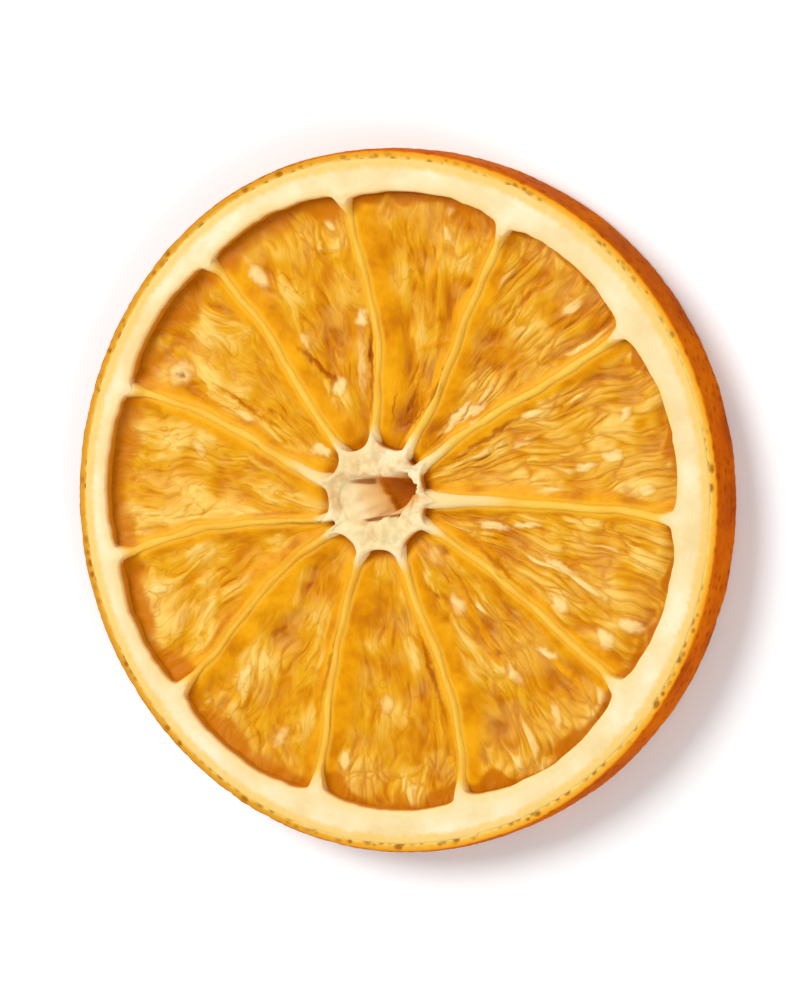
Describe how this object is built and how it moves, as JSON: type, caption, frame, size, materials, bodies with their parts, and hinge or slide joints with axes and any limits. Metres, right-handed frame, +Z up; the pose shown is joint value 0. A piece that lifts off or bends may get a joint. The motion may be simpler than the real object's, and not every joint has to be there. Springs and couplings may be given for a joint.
{
  "type": "dried orange slice",
  "caption": "Thin round slice cut across an orange and dried, with a pale pith ring, sunken amber segments between thin skins and a torn hollow core. It lies flat.",
  "frame": {"origin": "on the surface that the slice lies on, under the middle of its outline", "axes": "+Z up out of the shown face, +X to the right and +Y to the top of the face as seen in the picture"},
  "size_m": [0.0638, 0.0642, 0.0051],
  "materials": {
    "pulp": "satin",
    "pith": "matte",
    "peel": "satin"
  },
  "bodies": {
    "root": {"orange_slice": "pulp"}
  },
  "joints": []
}
